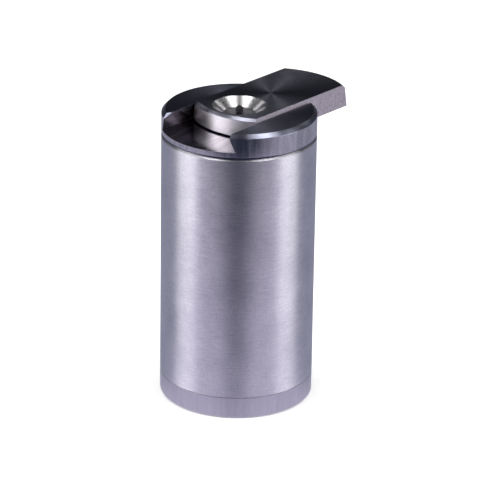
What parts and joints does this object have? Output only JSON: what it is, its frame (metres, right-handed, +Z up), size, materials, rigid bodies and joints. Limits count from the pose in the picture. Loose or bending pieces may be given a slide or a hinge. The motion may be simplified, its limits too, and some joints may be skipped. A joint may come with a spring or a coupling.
{
  "type": "laser collimator",
  "caption": "Turned steel laser collimator: cylindrical body, battery base cap, and a dovetail shutter slide with a polished dish and pinhole.",
  "frame": {"origin": "middle of the flat base, on the body's axis", "axes": "+Z up along the beam, +X the way the shutter slides open"},
  "size_m": [0.0421, 0.0318, 0.0626],
  "materials": {
    "body_steel": "fine-turned satin stainless steel",
    "base_steel": "matte bead-blasted stainless steel",
    "cap_steel": "face-turned stainless steel",
    "slide_steel": "face-turned stainless steel with a polished dish",
    "spring_steel": "bright spring steel",
    "nickel": "nickel plate",
    "brass": "turned brass",
    "rubber": "black nitrile rubber",
    "black_plastic": "moulded black plastic",
    "board_green": "solder-masked glass-fibre board",
    "component_black": "moulded epoxy",
    "lens_glass": "coated optical glass",
    "black_anodised": "black anodised aluminium"
  },
  "bodies": {
    "housing": {"body_tube": "body_steel", "slide_cap": "cap_steel", "cap_o_ring": "rubber", "battery_sleeve": "black_plastic", "button_cell_1": "nickel", "button_cell_2": "nickel", "button_cell_3": "nickel", "contact_plate": "brass", "driver_board": "board_green", "driver_chip": "component_black", "driver_capacitor": "nickel", "driver_resistor": "component_black", "spacer_tube": "black_plastic", "laser_barrel": "brass", "diode_ring": "brass", "laser_diode": "nickel", "diode_lead_1": "nickel", "diode_lead_2": "nickel", "lens_spring": "spring_steel", "tilt_plate": "body_steel", "clamp_screw": "spring_steel", "pivot_o_ring": "rubber", "protective_window": "lens_glass", "window_o_ring": "rubber", "window_retainer": "black_anodised", "slide_stop_pin": "spring_steel", "detent_spring": "spring_steel", "detent_plug": "brass"},
    "base": {"base_cap": "base_steel", "base_cap_o_ring": "rubber", "battery_spring": "spring_steel"},
    "shutter": {"shutter_slide": "slide_steel", "aperture_insert": "black_anodised"},
    "lens_holder": {"lens_cell": "brass", "collimating_lens": "lens_glass", "lens_retainer": "brass"},
    "detent": {"detent_ball": "spring_steel"},
    "tilt_adjuster_1": {"tilt_screw_1": "spring_steel"},
    "tilt_adjuster_2": {"tilt_screw_2": "spring_steel"},
    "tilt_adjuster_3": {"tilt_screw_3": "spring_steel"}
  },
  "joints": [
    {"name": "shutter_travel", "type": "slide", "parent": "housing", "child": "shutter", "axis": [1, 0, 0], "range_m": [-0.0098, 0]},
    {"name": "base_cap_turn", "type": "hinge", "parent": "housing", "child": "base", "pos_m": [0, 0, 0], "axis": [0, 0, 1], "range_deg": [0, 90]},
    {"name": "lens_focus_turn", "type": "hinge", "parent": "housing", "child": "lens_holder", "pos_m": [0, 0, 0.0403], "axis": [0, 0, 1], "range_deg": [-180, 180]},
    {"name": "detent_ball_press", "type": "slide", "parent": "housing", "child": "detent", "axis": [0, 0, 1], "range_m": [-0.0003, 0.00025], "stiffness_N_per_m": 200, "deforming": ["detent_spring"]},
    {"name": "tilt_screw_1_turn", "type": "hinge", "parent": "housing", "child": "tilt_adjuster_1", "pos_m": [0.00892, 0.00515, 0.048], "axis": [0, 0, 1], "range_deg": [-180, 180]},
    {"name": "tilt_screw_2_turn", "type": "hinge", "parent": "housing", "child": "tilt_adjuster_2", "pos_m": [-0.00892, 0.00515, 0.048], "axis": [0, 0, 1], "range_deg": [-180, 180]},
    {"name": "tilt_screw_3_turn", "type": "hinge", "parent": "housing", "child": "tilt_adjuster_3", "pos_m": [0, -0.0103, 0.048], "axis": [0, 0, 1], "range_deg": [-180, 180]}
  ]
}
